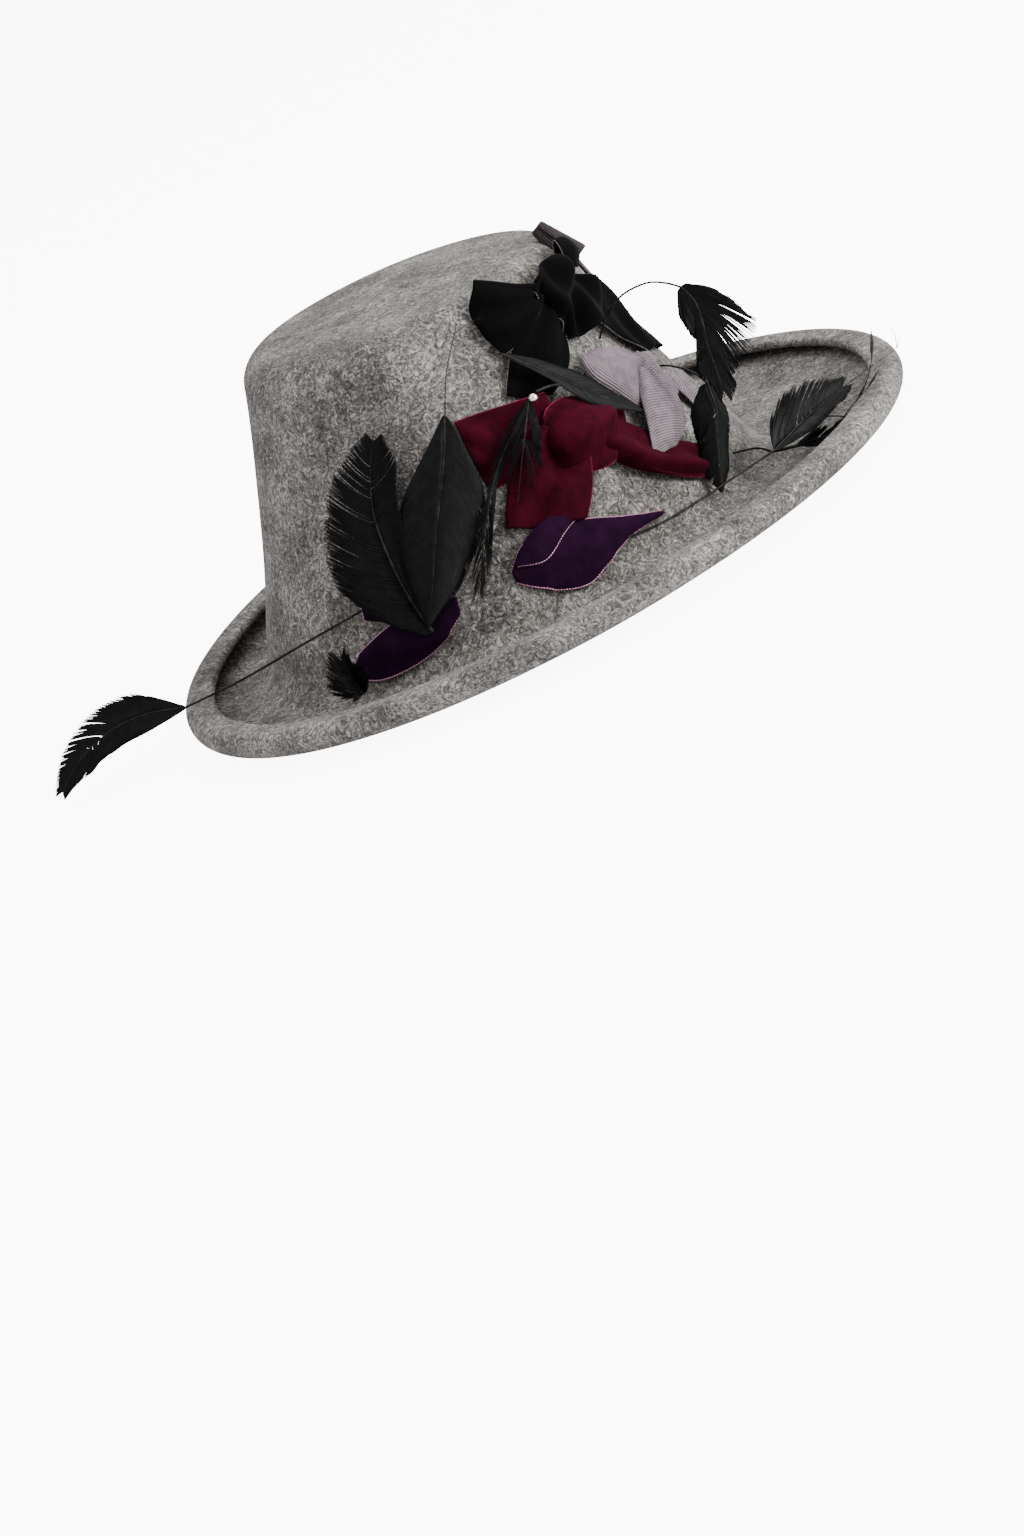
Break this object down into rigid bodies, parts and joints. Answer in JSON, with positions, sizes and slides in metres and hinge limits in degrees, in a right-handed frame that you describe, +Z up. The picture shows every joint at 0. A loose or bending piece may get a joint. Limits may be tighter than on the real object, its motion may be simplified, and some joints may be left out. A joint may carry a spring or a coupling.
{
  "type": "felt hat",
  "caption": "Grey wool-felt hat with a tapered oval crown, a dished brim with a rolled edge, and ribbon bows and black feathers sewn along one side.",
  "frame": {"origin": "middle of the head opening, in the plane the brim stands on", "axes": "+Z up out of the brim's plane, -Y towards the front of the hat, +X towards the wearer's left"},
  "size_m": [0.262, 0.318, 0.1169],
  "materials": {
    "grey_felt": "matt wool felt, flecked",
    "millinery_wire": "drawn wire",
    "lining": "satin lining",
    "sweatband_ribbon": "ribbed ribbon",
    "thread": "sewing thread",
    "brown_grosgrain": "ribbed ribbon",
    "black_velvet": "pile",
    "burgundy_velvet": "pile",
    "grey_grosgrain": "ribbed ribbon",
    "purple_velvet": "pile with picot edge",
    "black_feather": "glossy barbs",
    "satin_feather": "satin vane",
    "stem_wire": "black wire",
    "crimp_metal": "bright"
  },
  "bodies": {
    "hat": {"felt_crown": "grey_felt", "felt_tip": "grey_felt", "felt_flare": "grey_felt", "felt_brim": "grey_felt", "felt_brim_edge": "grey_felt", "brim_wire": "millinery_wire", "lining_side": "lining", "lining_tip": "lining", "sweatband": "sweatband_ribbon", "sweatband_bow": "sweatband_ribbon", "tack_stitches": "thread", "brown_loop": "brown_grosgrain", "brown_strip": "brown_grosgrain", "black_small_loop": "black_velvet", "black_left_lobe": "black_velvet", "black_lower_lobe": "black_velvet", "black_knot": "black_velvet", "black_right_tail": "black_velvet", "burgundy_left_tail": "burgundy_velvet", "burgundy_loop": "burgundy_velvet", "burgundy_knot": "burgundy_velvet", "burgundy_lower_tail": "burgundy_velvet", "burgundy_right_loop": "burgundy_velvet", "grey_loop": "grey_grosgrain", "grey_knot": "grey_grosgrain", "grey_front_tail": "grey_grosgrain", "grey_back_tail": "grey_grosgrain", "purple_right_leaf": "purple_velvet", "purple_left_leaf": "purple_velvet", "purple_square": "purple_velvet", "curled_feather": "black_feather", "leaf_feather": "satin_feather", "pointed_feather": "black_feather", "tuft_feather": "black_feather", "feather_hook_wire": "stem_wire"},
    "fringe": {"crimp_bead": "crimp_metal", "fringe_feather_short": "black_feather", "fringe_feather_long": "black_feather"},
    "long_front": {"long_front_feather": "black_feather"},
    "long_back": {"long_back_feather": "black_feather"},
    "arch_upper": {"arch_feather_upper": "black_feather"},
    "arch_lower": {"arch_feather_lower": "black_feather"},
    "spray": {"spray_feather": "black_feather"}
  },
  "joints": [
    {"name": "fringe_swing", "type": "hinge", "parent": "hat", "child": "fringe", "pos_m": [0.0708, -0.0386, 0.0732], "axis": [-0.5031, -0.8642, 0], "range_deg": [0, 18]},
    {"name": "long_front_flex", "type": "hinge", "parent": "hat", "child": "long_front", "pos_m": [0.011, -0.0959, 0.0312], "axis": [-0.2399, 0.9708, 0], "range_deg": [-1.5, 7], "stiffness_Nm_per_rad": 0.01, "springref_deg": 0.86},
    {"name": "long_back_flex", "type": "hinge", "parent": "hat", "child": "long_back", "pos_m": [0.083, -0.038, 0.0168], "axis": [0.9798, -0.2, 0], "range_deg": [-0.5, 6], "stiffness_Nm_per_rad": 0.01, "springref_deg": 0.46},
    {"name": "arch_upper_flex", "type": "hinge", "parent": "hat", "child": "arch_upper", "pos_m": [0.0675, 0.0108, 0.0732], "axis": [-0.3419, 0.9397, 0], "range_deg": [-5, 5], "stiffness_Nm_per_rad": 0.01, "springref_deg": -0.29},
    {"name": "arch_lower_flex", "type": "hinge", "parent": "hat", "child": "arch_lower", "pos_m": [0.069, 0.032, 0.0545], "axis": [-0.3419, 0.9397, 0], "range_deg": [-6, 1], "stiffness_Nm_per_rad": 0.01, "springref_deg": -0.11},
    {"name": "spray_lift", "type": "hinge", "parent": "hat", "child": "spray", "pos_m": [0.0862, 0.0294, 0.0152], "axis": [0.7071, -0.7071, 0], "range_deg": [0, 1.2], "stiffness_Nm_per_rad": 0.005}
  ]
}
